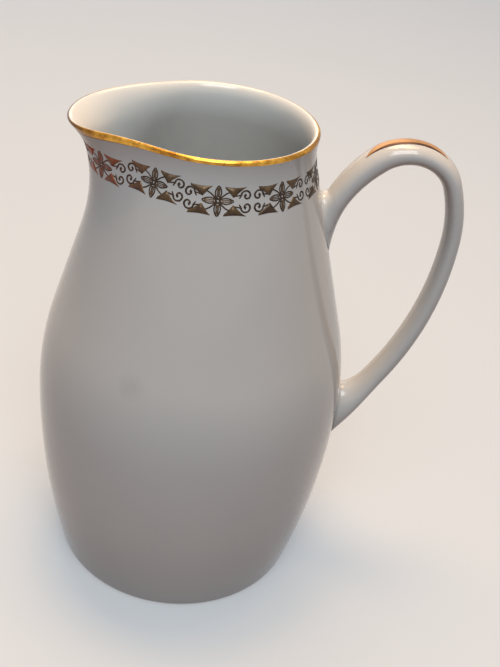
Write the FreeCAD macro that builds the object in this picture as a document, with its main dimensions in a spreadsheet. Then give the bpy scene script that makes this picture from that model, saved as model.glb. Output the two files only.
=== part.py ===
"""Porcelain milk jug: spouted lip, tapering shoulder, round belly and one looped handle.

A FreeCAD 1.1 macro in millimetres. +Z is up, the foot stands on Z = 0 and the jug's axis is the Z axis.
The spout points along -X and the handle along +X, so the jug is symmetric about the XZ plane. Every
driving size is a cell of the sheet "Sizes", and sketches, sections and fillets are bound to those cells.
The fired jug is one piece of porcelain, so it is one PartDesign body.
"""

import FreeCAD, Part
import Sketcher
import math
import os

from FreeCAD import Placement, Rotation, Vector

SIZES = {
    # Outside of the jug, from its foot to its lip.
    "jug_height": 175.0,
    "foot_radius": 45.6,
    "belly_radius": 55.0,
    "belly_height": 72.5,
    "belly_curve": 110.0,
    "shoulder_angle": 16.0,
    "lip_flare": 3.1,
    "lip_flare_height": 12.7,
    # Spout: the straight shoulder under it, its reach past the lip, its nose, and the dip of its edge.
    "shoulder_run": 27.2,
    "spout_reach": 16.5,
    "spout_nose_radius": 19.0,
    "spout_dip_start": 20.0,
    "spout_dip_curve": 135.0,
    # Wall, floor and foot ring.
    "wall": 2.8,
    "floor": 5.0,
    "cavity_rounding": 14.0,
    "foot_ring_width": 4.0,
    "foot_recess": 1.6,
    "foot_rounding": 2.4,
    # Handle: the furthest point of its centre line, and the tangent arcs that the line is made of.
    "grip_standoff": 28.2,
    "grip_drop": 35.2,
    "back_curve": 54.5,
    "back_angle": 22.0,
    "arch_angle": 131.0,
    "root_curve": 42.5,
    "root_angle": 24.0,
    "root_gap": 5.8,
    # Handle section: depth across the loop and width along Y, from the upper end to the lower one.
    "upper_depth": 9.2,
    "arch_depth": 8.1,
    "grip_depth": 5.7,
    "lower_depth": 8.9,
    "grip_width": 11.0,
    # Handle roots: where they stand, and the length and width of each one's print on the wall.
    "upper_root_fall": 7.9,
    "upper_root_length": 19.6,
    "upper_root_width": 14.0,
    "lower_root_drop": 9.5,
    "lower_root_length": 29.0,
    "lower_root_width": 16.0,
}

# The spout swells with this power of its height.
SPOUT_POWER = 2.4
# Sections of the lofts, as shares of the height or the arc that they span.
NECK_SHARES = [0.06, 0.12, 0.2, 0.3, 0.42, 0.55, 0.67, 0.78, 0.88, 0.96]
UPPER_SHARES = [1.0, 0.5]
ARCH_SHARES = [0.0, 0.2, 0.4, 0.6, 0.8, 1.0]
BACK_SHARES = [0.35, 0.75]
LOWER_SHARES = [0.1, 0.25, 0.4, 0.55, 0.7, 0.84]
# A root's flare, halfway from the handle to the wall: shares of the way in place, in turn and in size.
FLARE_PLACE = 0.4
FLARE_TURN = 0.6
FLARE_SIZE = 0.3
# Split of the round at the neck's foot: half the nose's angle and the flanks', in degrees.
NOSE_ANGLE = 8.0
FLANK_ANGLE = 1.0
# A point nearer than this lies on a skin.
SKIN_TOLERANCE = 0.01
# Cutters and the raw lip stand this far past the finished edges.
TRIM = 2.0
CLEAR = 100.0
# A root's print is set this far under the wall's skin.
SEAT_DEPTH = 0.6


doc = FreeCAD.newDocument("MilkJug")
sheet = doc.addObject("Spreadsheet::Sheet", "Sizes")
for row, (alias, size) in enumerate(SIZES.items(), start=1):
    sheet.set(f"B{row}", str(size))
    sheet.setAlias(f"B{row}", alias)
doc.recompute()

jug = doc.addObject("PartDesign::Body", "Jug")
jug.Label = "jug"


# Expressions. Each is text over the sheet's cells, so one wording gives both the value and the binding.


def amount(expression):
    """Present value of an expression, as a plain number in millimetres or degrees."""
    result = sheet.evalExpression(expression)
    return float(getattr(result, "Value", result))


def between(start, end, share, power=1):
    """Expression that goes from start to end as share goes from 0 to 1, on a power curve."""
    return f"({start} + ({end} - {start}) * {share ** power:.6f})"


def shoulder_radius(height):
    """Outer radius of the straight shoulder, or of its continuation, at a height."""
    return (
        "(Sizes.belly_radius - Sizes.belly_curve * (1 - cos(Sizes.shoulder_angle))"
        f" - tan(Sizes.shoulder_angle) * ({height} - Sizes.belly_height"
        " - Sizes.belly_curve * sin(Sizes.shoulder_angle)))"
    )


def neck_radius(height):
    """Outer radius of the neck away from the spout, with the lip's flare."""
    flare_base = "(Sizes.jug_height - Sizes.lip_flare_height)"
    climb = f"(max(0; {height} - {flare_base}) / Sizes.lip_flare_height)"
    return f"({shoulder_radius(height)} + Sizes.lip_flare * {climb} ^ 2)"


def lower_radius(height, inset="0"):
    """Radius of the vessel below the belly's widest, at a distance in from the outer skin."""
    return (
        f"(Sizes.belly_radius - {LOWER_CURVE}"
        f" + sqrt(({LOWER_CURVE} - {inset}) ^ 2 - (Sizes.belly_height - {height}) ^ 2))"
    )


SHOULDER_TOP = "(Sizes.belly_height + Sizes.belly_curve * sin(Sizes.shoulder_angle))"
NECK_BASE = f"({SHOULDER_TOP} + Sizes.shoulder_run)"
SPOUT_HEIGHT = f"(Sizes.jug_height - {NECK_BASE})"
LOWER_CURVE = (
    "((Sizes.belly_height ^ 2 + (Sizes.belly_radius - Sizes.foot_radius) ^ 2)"
    " / (2 * (Sizes.belly_radius - Sizes.foot_radius)))"
)
GRIP_X = "(Sizes.belly_radius + Sizes.grip_standoff)"
GRIP_Z = "(Sizes.jug_height - Sizes.grip_drop)"
# The origin is midway between the belly's side and the grip's outer side, at the foot.
AXIS_X = "(-(Sizes.grip_standoff + Sizes.grip_depth / 2) / 2)"


# Sketch helpers.


def origin_plane(role):
    """The body's own origin plane with this role."""
    return next(plane for plane in jug.Origin.OriginFeatures if plane.Role == role)


def new_sketch(name, role):
    """An empty sketch on one of the body's origin planes."""
    sketch = jug.newObject("Sketcher::SketchObject", name)
    sketch.AttachmentSupport = (origin_plane(role), "")
    sketch.MapMode = "FlatFace"
    return sketch


def hold(sketch, *constraint):
    """Add one constraint that has no size."""
    sketch.addConstraint(Sketcher.Constraint(*constraint))


def drive(sketch, *constraint, to):
    """Add one constraint whose size is bound to an expression."""
    size = amount(to)
    if constraint[0] == "Angle":
        size = math.radians(size)
    index = sketch.addConstraint(Sketcher.Constraint(*constraint, size))
    sketch.setExpression(f"Constraints[{index}]", to)


def join_ends(sketch, kind, pairs):
    """Join curve ends two by two: each pair is (curve, end, curve, end), 1 for a start and 2 for an end."""
    for pair in pairs:
        hold(sketch, kind, *pair)


def arc_between(centre, radius, start, end):
    """Arc about a centre from one angle to another, in radians, anticlockwise."""
    return Part.ArcOfCircle(Part.Circle(centre, Vector(0, 0, 1), radius), start, end)


def set_feature(feature, **properties):
    """Set a feature's properties, recompute and hand it back."""
    for name, setting in properties.items():
        setattr(feature, name, setting)
    doc.recompute()
    return feature


# Lower body and its hollow: one profile, drawn at the outer skin or set in by the wall.


def body_profile(name, inset, bottom):
    """Half profile of the vessel below the neck, in the XZ plane, for a turn about the jug's axis.

    inset is the distance inwards from the outer skin and bottom the height of the flat floor.
    """
    sketch = new_sketch(name, "XZ_Plane")
    belly_z = amount("Sizes.belly_height")
    belly_x = amount(f"Sizes.belly_radius - {inset}")
    lower = amount(f"{LOWER_CURVE} - {inset}")
    upper = amount(f"Sizes.belly_curve - {inset}")
    floor_z = amount(bottom)
    top_z = amount(NECK_BASE)
    lean = math.radians(amount("Sizes.shoulder_angle"))
    dip = -math.asin((belly_z - floor_z) / lower)
    lower_centre = Vector(belly_x - lower, belly_z, 0)
    upper_centre = Vector(belly_x - upper, belly_z, 0)
    floor_end = lower_centre + Vector(math.cos(dip), math.sin(dip), 0) * lower
    shoulder = upper_centre + Vector(math.cos(lean), math.sin(lean), 0) * upper
    top_x = shoulder.x - math.tan(lean) * (top_z - shoulder.y)
    sketch.addGeometry(
        [
            Part.LineSegment(Vector(0, floor_z, 0), floor_end),
            arc_between(lower_centre, lower, dip, 0),
            arc_between(upper_centre, upper, 0, lean),
            Part.LineSegment(shoulder, Vector(top_x, top_z, 0)),
            Part.LineSegment(Vector(top_x, top_z, 0), Vector(0, top_z, 0)),
            Part.LineSegment(Vector(0, top_z, 0), Vector(0, floor_z, 0)),
        ],
        False,
    )
    floor_line, lower_arc, upper_arc, shoulder_line, top_line, axis_line = range(6)
    join_ends(sketch, "Coincident", [(floor_line, 2, lower_arc, 1), (shoulder_line, 2, top_line, 1)])
    join_ends(sketch, "Coincident", [(top_line, 2, axis_line, 1), (axis_line, 2, floor_line, 1)])
    join_ends(sketch, "Tangent", [(lower_arc, 2, upper_arc, 1), (upper_arc, 2, shoulder_line, 1)])
    hold(sketch, "Horizontal", floor_line)
    hold(sketch, "Horizontal", top_line)
    hold(sketch, "PointOnObject", floor_line, 1, -2)
    hold(sketch, "PointOnObject", axis_line, 1, -2)
    drive(sketch, "DistanceY", -1, 1, lower_arc, 2, to="Sizes.belly_height")
    drive(sketch, "DistanceY", -1, 1, lower_arc, 3, to="Sizes.belly_height")
    drive(sketch, "DistanceX", -1, 1, lower_arc, 2, to=f"Sizes.belly_radius - {inset}")
    drive(sketch, "Radius", lower_arc, to=f"{LOWER_CURVE} - {inset}")
    drive(sketch, "Radius", upper_arc, to=f"Sizes.belly_curve - {inset}")
    drive(sketch, "Angle", -2, 1, shoulder_line, 1, to="Sizes.shoulder_angle")
    drive(sketch, "DistanceY", -1, 1, top_line, 1, to=NECK_BASE)
    if amount(bottom):
        drive(sketch, "DistanceY", -1, 1, floor_line, 1, to=bottom)
    else:
        hold(sketch, "PointOnObject", floor_line, 1, -1)
    return sketch


# Neck, lip and spout: level sections, each a round and a smaller nose joined by straight tangent flanks.


def level_sketch(name, height):
    """An empty level sketch at a height given by an expression."""
    sketch = new_sketch(name, "XY_Plane")
    sketch.AttachmentOffset = Placement(Vector(0, 0, amount(height)), Rotation())
    sketch.setExpression("AttachmentOffset.Base.z", height)
    return sketch


def round_section(name, inset):
    """Circle at the foot of the neck, in four arcs, so that its corners match those of the sections above."""
    radius = f"{neck_radius(NECK_BASE)} - {inset}"
    size = amount(radius)
    sketch = level_sketch(name, NECK_BASE)
    flank_angle = math.radians(180 - NOSE_ANGLE - FLANK_ANGLE)
    nose_angle = math.radians(180 - NOSE_ANGLE)
    turns = [-flank_angle, flank_angle, nose_angle, -nose_angle, -flank_angle]
    arcs = [arc_between(Vector(0, 0, 0), size, start, end) for start, end in zip(turns, turns[1:])]
    sketch.addGeometry(arcs, False)
    join_ends(sketch, "Coincident", [(0, 2, 1, 1), (1, 2, 2, 1), (2, 2, 3, 1), (3, 2, 0, 1)])
    for arc in range(3):
        hold(sketch, "Coincident", arc, 3, -1, 1)
    hold(sketch, "Equal", 0, 3)
    drive(sketch, "Radius", 0, to=radius)
    hold(sketch, "Symmetric", 0, 1, 0, 2, -1)
    hold(sketch, "Symmetric", 2, 1, 2, 2, -1)
    drive(sketch, "DistanceX", 0, 2, -1, 1, to=f"({radius}) * cos({NOSE_ANGLE + FLANK_ANGLE})")
    drive(sketch, "DistanceX", 2, 1, -1, 1, to=f"({radius}) * cos({NOSE_ANGLE})")
    return sketch


def nose_section(name, share, inset):
    """Section of the neck with the spout's nose.

    share is the section's height as a share of the spout's and inset the distance in from the outer skin.
    """
    height = f"({NECK_BASE} + {SPOUT_HEIGHT} * {share:.6f})"
    round_radius = neck_radius(height)
    nose_radius = between(round_radius, "Sizes.spout_nose_radius", share)
    reach = f"({round_radius} + Sizes.spout_reach * {share ** SPOUT_POWER:.6f})"
    sketch = level_sketch(name, height)
    big = amount(f"{round_radius} - {inset}")
    small = amount(f"{nose_radius} - {inset}")
    offset = amount(f"{reach} - {nose_radius}")
    centre = Vector(0, 0, 0)
    nose = Vector(-offset, 0, 0)
    turn = math.acos((big - small) / offset)
    normal = Vector(-math.cos(turn), math.sin(turn), 0)
    mirrored = Vector(normal.x, -normal.y, 0)
    back = math.pi - turn
    sketch.addGeometry(
        [
            arc_between(centre, big, -back, back),
            Part.LineSegment(centre + normal * big, nose + normal * small),
            arc_between(nose, small, back, -back),
            Part.LineSegment(nose + mirrored * small, centre + mirrored * big),
        ],
        False,
    )
    join_ends(sketch, "Tangent", [(0, 2, 1, 1), (1, 2, 2, 1), (2, 2, 3, 1), (3, 2, 0, 1)])
    hold(sketch, "Coincident", 0, 3, -1, 1)
    hold(sketch, "PointOnObject", 2, 3, -1)
    drive(sketch, "Radius", 0, to=f"{round_radius} - {inset}")
    drive(sketch, "Radius", 2, to=f"{nose_radius} - {inset}")
    drive(sketch, "DistanceX", 2, 3, -1, 1, to=f"{reach} - {nose_radius}")
    return sketch


def neck_sections(prefix, inset):
    """The neck's sections from its foot to just past the lip, where the raw edge is trimmed off."""
    past_lip = 1 + TRIM / amount(SPOUT_HEIGHT)
    sections = [round_section(f"{prefix}0", inset)]
    for number, share in enumerate([*NECK_SHARES, past_lip], start=1):
        sections.append(nose_section(f"{prefix}{number}", share, inset))
    return sections


def add_loft(kind, name, sections):
    """Smooth loft through sections, added to the body or taken from it."""
    loft = jug.newObject(f"PartDesign::{kind}Loft", name)
    return set_feature(loft, Profile=sections[0], Sections=sections[1:], Ruled=False)


def mirrored(name, feature):
    """The feature and its mirror image in the jug's middle plane."""
    mirror = jug.newObject("PartDesign::Mirrored", name)
    set_feature(mirror, Originals=[feature], MirrorPlane=(origin_plane("XZ_Plane"), [""]))
    jug.Tip = mirror
    return mirror


def turned(kind, name, sketch):
    """Full turn of a profile about the jug's axis, added to the body or taken from it."""
    feature = jug.newObject(f"PartDesign::{kind}", name)
    return set_feature(feature, Profile=sketch, ReferenceAxis=(sketch, ["V_Axis"]), Angle=360.0)


# Handle: elliptical sections square to a centre line of four tangent arcs in the XZ plane.


def handle_section(name, centre_x, centre_z, turn, depth, width):
    """Half of the handle's elliptical section, on the +Y side, given by expressions.

    turn is the angle of the section's outward direction above +X, depth its size across the loop and
    width its whole size along Y. An ellipse starts at its longer axis, so its half is laid out either way.
    """
    sketch = new_sketch(name, "XY_Plane")
    place = Vector(amount(centre_x), 0, amount(centre_z))
    sketch.AttachmentOffset = Placement(place, Rotation(Vector(0, 1, 0), -amount(turn)))
    sketch.setExpression("AttachmentOffset.Base.x", centre_x)
    sketch.setExpression("AttachmentOffset.Base.z", centre_z)
    sketch.setExpression("AttachmentOffset.Rotation.Angle", f"-({turn})")
    outer = Vector(amount(depth) / 2, 0, 0)
    side = Vector(0, amount(width) / 2, 0)
    centre = Vector(0, 0, 0)
    wide = side.Length > outer.Length
    oval = Part.Ellipse(side, -outer, centre) if wide else Part.Ellipse(outer, side, centre)
    start = -math.pi / 2 if wide else 0
    half = sketch.addGeometry(Part.ArcOfEllipse(oval, start, start + math.pi), False)
    flat = sketch.addGeometry(Part.LineSegment(-outer, outer), False)
    sketch.exposeInternalGeometry(half)
    long_line, short_line = flat + 1, flat + 2
    hold(sketch, "Coincident", half, 3, -1, 1)
    hold(sketch, "PointOnObject", long_line, 1, -2 if wide else -1)
    hold(sketch, "PointOnObject", half, 1, -1)
    hold(sketch, "PointOnObject", half, 2, -1)
    hold(sketch, "Coincident", flat, 1, half, 2)
    hold(sketch, "Coincident", flat, 2, half, 1)
    drive(sketch, "Distance", long_line, to=width if wide else depth)
    drive(sketch, "Distance", short_line, to=depth if wide else width)
    return sketch


def on_arc(centre_x, centre_z, radius, turn):
    """Expressions for the point of an arc whose outward direction stands at an angle above +X."""
    return f"({centre_x} + {radius} * cos({turn}))", f"({centre_z} + {radius} * sin({turn}))"


def into_wall(place, turn, depth):
    """Expressions for the point a depth behind a place, square to a direction that lies along the wall."""
    return f"({place[0]} - {depth} * abs(sin({turn})))", f"({place[1]} - {depth} * abs(cos({turn})))"


def arch_curve():
    """Radius of the arch, which sets the upper end of the handle its gap away from the shoulder's line."""
    end_angle = "(Sizes.arch_angle + Sizes.root_angle)"
    flat_x = (
        f"({GRIP_X} - Sizes.back_curve * (1 - cos(Sizes.back_angle))"
        f" + Sizes.root_curve * (cos({end_angle}) - cos(Sizes.arch_angle)))"
    )
    flat_z = (
        f"({GRIP_Z} + Sizes.back_curve * sin(Sizes.back_angle)"
        f" + Sizes.root_curve * (sin({end_angle}) - sin(Sizes.arch_angle)))"
    )
    lean = (
        "(cos(Sizes.back_angle) - cos(Sizes.arch_angle)"
        " - tan(Sizes.shoulder_angle) * (sin(Sizes.arch_angle) - sin(Sizes.back_angle)))"
    )
    return f"(({flat_x} - {shoulder_radius(flat_z)} - Sizes.root_gap) / {lean})"


def root_stations(end, print_centre, print_turn, length, width):
    """The flare from the handle's last section to the wall, and the print run on through the wall.

    end is that last section. The hollow cuts the rest off flush inside.
    """
    place = (between(end[0], print_centre[0], FLARE_PLACE), between(end[1], print_centre[1], FLARE_PLACE))
    flare = (
        *place,
        between(end[2], print_turn, FLARE_TURN),
        between(end[3], length, FLARE_SIZE),
        between(end[4], width, FLARE_SIZE),
    )
    seat = into_wall(print_centre, print_turn, SEAT_DEPTH)
    buried = into_wall(print_centre, print_turn, f"(Sizes.wall + {TRIM})")
    return [flare, (*seat, print_turn, length, width), (*buried, print_turn, length, width)]


def handle_stations():
    """Centre, turn, depth and width of each section of the handle, from the upper root to the lower."""
    arch = arch_curve()
    back_x = f"({GRIP_X} - Sizes.back_curve)"
    arch_x, arch_z = on_arc(back_x, GRIP_Z, f"(Sizes.back_curve - {arch})", "Sizes.back_angle")
    root_x, root_z = on_arc(arch_x, arch_z, f"({arch} - Sizes.root_curve)", "Sizes.arch_angle")
    lower_z = "(Sizes.belly_height - Sizes.lower_root_drop)"
    lower_x = lower_radius(lower_z)
    run, fall = f"({GRIP_X} - {lower_x})", f"({GRIP_Z} - {lower_z})"
    lower_curve = f"(({run} ^ 2 + {fall} ^ 2) / (2 * {run}))"
    lower_angle = f"asin({fall} / {lower_curve})"

    bars = []
    for share in UPPER_SHARES:
        turn = f"(Sizes.arch_angle + Sizes.root_angle * {share})"
        depth = between("Sizes.arch_depth", "Sizes.upper_depth", share)
        bars.append((*on_arc(root_x, root_z, "Sizes.root_curve", turn), turn, depth, "Sizes.grip_width"))
    for share in ARCH_SHARES:
        turn = between("Sizes.arch_angle", "Sizes.back_angle", share)
        depth = between("Sizes.arch_depth", "Sizes.grip_depth", share)
        bars.append((*on_arc(arch_x, arch_z, arch, turn), turn, depth, "Sizes.grip_width"))
    for share in BACK_SHARES:
        turn = between("Sizes.back_angle", "0", share)
        place = on_arc(back_x, GRIP_Z, "Sizes.back_curve", turn)
        bars.append((*place, turn, "Sizes.grip_depth", "Sizes.grip_width"))
    for share in LOWER_SHARES:
        turn = f"(-{lower_angle} * {share})"
        place = on_arc(f"({GRIP_X} - {lower_curve})", GRIP_Z, lower_curve, turn)
        depth = between("Sizes.grip_depth", "Sizes.lower_depth", share)
        bars.append((*place, turn, depth, "Sizes.grip_width"))

    upper_z = f"({bars[0][1]} - Sizes.upper_root_fall)"
    upper_print = (shoulder_radius(upper_z), upper_z)
    upper_lean = "(90 + Sizes.shoulder_angle)"
    upper_size = ("Sizes.upper_root_length", "Sizes.upper_root_width")
    upper = root_stations(bars[0], upper_print, upper_lean, *upper_size)
    lower_lean = f"(-90 deg - asin(Sizes.lower_root_drop / {LOWER_CURVE}))"
    lower_size = ("Sizes.lower_root_length", "Sizes.lower_root_width")
    lower = root_stations(bars[-1], (lower_x, lower_z), lower_lean, *lower_size)
    return [*upper[::-1], *bars, *lower]


def handle_sections():
    """The handle's sections, as sketches."""
    stations = enumerate(handle_stations(), start=1)
    return [handle_section(f"HandleSection{number}", *station) for number, station in stations]


# Edges and cuts.


def rounded(name, base, edges, radius):
    """Fillet of edges of a feature, with its radius bound to an expression."""
    fillet = jug.newObject("PartDesign::Fillet", name)
    fillet.setExpression("Radius", radius)
    return set_feature(fillet, Base=(base, edges), Radius=amount(radius))


def lip_line():
    """Region above the lip, in the XZ plane: level over the mouth and dipping along an arc to the spout."""
    sketch = new_sketch("LipLine", "XZ_Plane")
    top = amount("Sizes.jug_height")
    start = -amount("Sizes.spout_dip_start")
    curve = amount("Sizes.spout_dip_curve")
    sweep = math.asin(CLEAR / curve)
    centre = Vector(start, top - curve, 0)
    low = centre + Vector(-math.sin(sweep), math.cos(sweep), 0) * curve
    level = Vector(start, top, 0)
    far = Vector(CLEAR, top, 0)
    corners = [level, far, far + Vector(0, CLEAR, 0), Vector(low.x, top + CLEAR, 0), low]
    lines = [Part.LineSegment(one, two) for one, two in zip(corners, corners[1:])]
    sketch.addGeometry([*lines, arc_between(centre, curve, math.pi / 2, math.pi / 2 + sweep)], False)
    join_ends(sketch, "Coincident", [(0, 2, 1, 1), (1, 2, 2, 1), (2, 2, 3, 1), (3, 2, 4, 2)])
    hold(sketch, "Tangent", 4, 1, 0, 1)
    for level_line in (0, 2):
        hold(sketch, "Horizontal", level_line)
    for upright in (1, 3):
        hold(sketch, "Vertical", upright)
    drive(sketch, "DistanceY", -1, 1, 0, 1, to="Sizes.jug_height")
    drive(sketch, "DistanceX", 0, 1, -1, 1, to="Sizes.spout_dip_start")
    drive(sketch, "Radius", 4, to="Sizes.spout_dip_curve")
    drive(sketch, "DistanceX", -1, 1, 0, 2, to=str(CLEAR))
    drive(sketch, "DistanceY", 1, 1, 1, 2, to=str(CLEAR))
    drive(sketch, "DistanceX", 4, 2, 4, 1, to=str(CLEAR))
    return sketch


def foot_recess():
    """Half profile of the recess inside the foot ring, for a turn about the jug's axis."""
    sketch = new_sketch("FootRecess", "XZ_Plane")
    rim = amount("Sizes.foot_radius - Sizes.foot_ring_width")
    depth = amount("Sizes.foot_recess")
    ceiling = Vector(rim - TRIM - depth, depth, 0)
    corners = [Vector(0, -TRIM, 0), Vector(rim, -TRIM, 0), ceiling, Vector(0, depth, 0)]
    sketch.addGeometry([Part.LineSegment(corners[n], corners[(n + 1) % 4]) for n in range(4)], False)
    join_ends(sketch, "Coincident", [(0, 2, 1, 1), (1, 2, 2, 1), (2, 2, 3, 1), (3, 2, 0, 1)])
    hold(sketch, "PointOnObject", 0, 1, -2)
    hold(sketch, "PointOnObject", 3, 1, -2)
    hold(sketch, "Horizontal", 0)
    hold(sketch, "Horizontal", 2)
    drive(sketch, "DistanceX", 0, 1, 0, 2, to="Sizes.foot_radius - Sizes.foot_ring_width")
    drive(sketch, "DistanceX", 1, 2, 0, 2, to=f"Sizes.foot_recess + {TRIM}")
    drive(sketch, "DistanceY", 0, 1, -1, 1, to=str(TRIM))
    drive(sketch, "DistanceY", -1, 1, 2, 1, to="Sizes.foot_recess")
    return sketch


def ring_edges(feature, radius, height):
    """Names of a feature's edges that run round the jug's axis at a radius and a height."""
    size = amount(radius)
    level = amount(height)
    names = []
    for number, edge in enumerate(feature.Shape.Edges, start=1):
        middle = edge.valueAt((edge.FirstParameter + edge.LastParameter) / 2)
        if abs(math.hypot(middle.x, middle.y) - size) + abs(middle.z - level) < SKIN_TOLERANCE:
            names.append(f"Edge{number}")
    return names


def seat(body):
    """Set the body in the part's frame: the foot on the ground, spout towards -X, grip towards +X."""
    body.setExpression("Placement.Base.x", AXIS_X)
    doc.recompute()


def check_document():
    """Stop with the names of whatever failed: an object's State doesn't raise by itself."""
    failed = [part.Name for part in doc.Objects if {"Invalid", "Error"} & set(part.State)]
    if failed:
        raise RuntimeError(f"these objects failed: {failed}")
    for part in jug.Group:
        cuts = part.TypeId in ("PartDesign::Pocket", "PartDesign::Groove", "PartDesign::SubtractiveLoft")
        if cuts and part.Shape.Volume >= part.BaseFeature.Shape.Volume:
            raise RuntimeError(f"{part.Name} took nothing away")
    if jug.Shape.isNull() or not jug.Shape.isValid() or len(jug.Shape.Solids) != 1:
        raise RuntimeError("the jug isn't one valid solid")


# The build, in the order in which the jug is formed.

turned("Revolution", "Belly", body_profile("BellyProfile", "0", "0"))
add_loft("Additive", "Neck", neck_sections("NeckLevel", "0"))
handle = add_loft("Additive", "HandleHalf", handle_sections())
mirrored("Handle", handle)
turned("Groove", "Hollow", body_profile("HollowProfile", "Sizes.wall", "Sizes.floor"))
add_loft("Subtractive", "Mouth", neck_sections("MouthLevel", "Sizes.wall"))
set_feature(jug.newObject("PartDesign::Pocket", "Lip"), Profile=lip_line(), Type="ThroughAll", Midplane=True)
recess = turned("Groove", "Recess", foot_recess())
foot_edges = ring_edges(recess, "Sizes.foot_radius", "0")
foot = rounded("Foot", recess, foot_edges, "Sizes.foot_rounding")
floor_edges = ring_edges(foot, lower_radius("Sizes.floor", "Sizes.wall"), "Sizes.floor")
rounded("Cavity", foot, floor_edges, "Sizes.cavity_rounding")
seat(jug)
check_document()

os.makedirs("parts", exist_ok=True)
jug.Shape.exportStep("parts/jug.step")
print(jug.Label, f"{jug.Shape.Volume / 1000:.1f} cm3,", len(jug.Shape.Faces), "faces")
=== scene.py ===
"""A milk jug of glazed porcelain: gilded lip, filigree band and a lined, looped handle."""

import bisect
import logging
import math
from dataclasses import dataclass, field
from enum import Enum, IntEnum
from typing import Callable, Iterable, Sequence

import bmesh
import bpy
from mathutils import Matrix, Vector


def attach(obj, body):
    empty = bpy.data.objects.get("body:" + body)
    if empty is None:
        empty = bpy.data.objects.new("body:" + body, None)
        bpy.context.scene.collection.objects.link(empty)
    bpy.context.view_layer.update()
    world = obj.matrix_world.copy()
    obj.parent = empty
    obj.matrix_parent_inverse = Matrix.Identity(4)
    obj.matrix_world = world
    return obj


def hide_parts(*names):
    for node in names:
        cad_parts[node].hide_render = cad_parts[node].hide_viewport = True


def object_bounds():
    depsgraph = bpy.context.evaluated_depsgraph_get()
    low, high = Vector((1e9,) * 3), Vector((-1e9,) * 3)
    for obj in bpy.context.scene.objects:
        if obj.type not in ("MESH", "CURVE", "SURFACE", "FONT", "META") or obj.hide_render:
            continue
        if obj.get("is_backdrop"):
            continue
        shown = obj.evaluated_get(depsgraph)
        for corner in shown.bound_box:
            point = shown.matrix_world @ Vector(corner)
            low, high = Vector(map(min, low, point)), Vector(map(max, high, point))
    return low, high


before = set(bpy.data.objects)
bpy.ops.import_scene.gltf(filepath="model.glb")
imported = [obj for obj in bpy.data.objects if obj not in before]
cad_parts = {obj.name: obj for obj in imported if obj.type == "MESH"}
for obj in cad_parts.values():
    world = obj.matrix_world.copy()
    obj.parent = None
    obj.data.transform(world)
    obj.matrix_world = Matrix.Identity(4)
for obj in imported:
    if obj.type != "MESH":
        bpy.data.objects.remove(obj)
CAD_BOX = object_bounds()

MM = 0.001
AXIS_X = -15.525  # the vessel's own axis, in millimetres from the frame's origin
LOG = logging.getLogger("milk_jug")

# A radius of the spouted neck is evened out over these turns, in degrees, each with its share.
FLANK_EASE = ((-9.0, 0.08), (-6.0, 0.12), (-3.0, 0.18), (0.0, 0.24), (3.0, 0.18), (6.0, 0.12), (9.0, 0.08))

Point = tuple[float, float, float]
Flat = tuple[float, float]
Colour = tuple[float, float, float, float]


class Skin(Enum):
    """Which skin of the wall a radius is asked for."""

    OUTER = "outer"
    INNER = "inner"


class Slot(Enum):
    """Material slots of the record."""

    GLAZE = "glaze"


class VesselCoat(IntEnum):
    """The vessel's finishes, by their numbers on the piece."""

    GLAZE = 0
    GOLD = 1
    # The glaze inside, a brighter copy of the outer glaze: painted light on the shaded interior.
    INSIDE = 2
    BURNT = 3


class LineCoat(IntEnum):
    """Finishes of the handle's line, by their numbers on the piece."""

    GOLD = 0
    BURNT = 1


class BandCoat(IntEnum):
    """Finishes of the band, by their numbers on the piece."""

    LINE = 0
    LEAF = 1


def clamp(value: float, low: float = 0.0, high: float = 1.0) -> float:
    """Value held between low and high."""
    return max(low, min(high, value))


def mix(start: float, end: float, share: float) -> float:
    """Straight-line value between start and end."""
    return start + (end - start) * share


def smooth(value: float) -> float:
    """Share from 0 to 1 that eases in and out."""
    share = clamp(value)
    return share * share * (3 - 2 * share)


def linear(red: int, green: int, blue: int) -> Colour:
    """Scene-linear colour of a display colour.

    Args:
        red: the display colour's red part, from 0 to 255.
        green: its green part.
        blue: its blue part.

    Returns:
        The colour with an alpha of one.
    """
    parts = [part / 255 for part in (red, green, blue)]
    lit = [p / 12.92 if p <= 0.04045 else ((p + 0.055) / 1.055) ** 2.4 for p in parts]
    return (*lit, 1.0)


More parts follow.
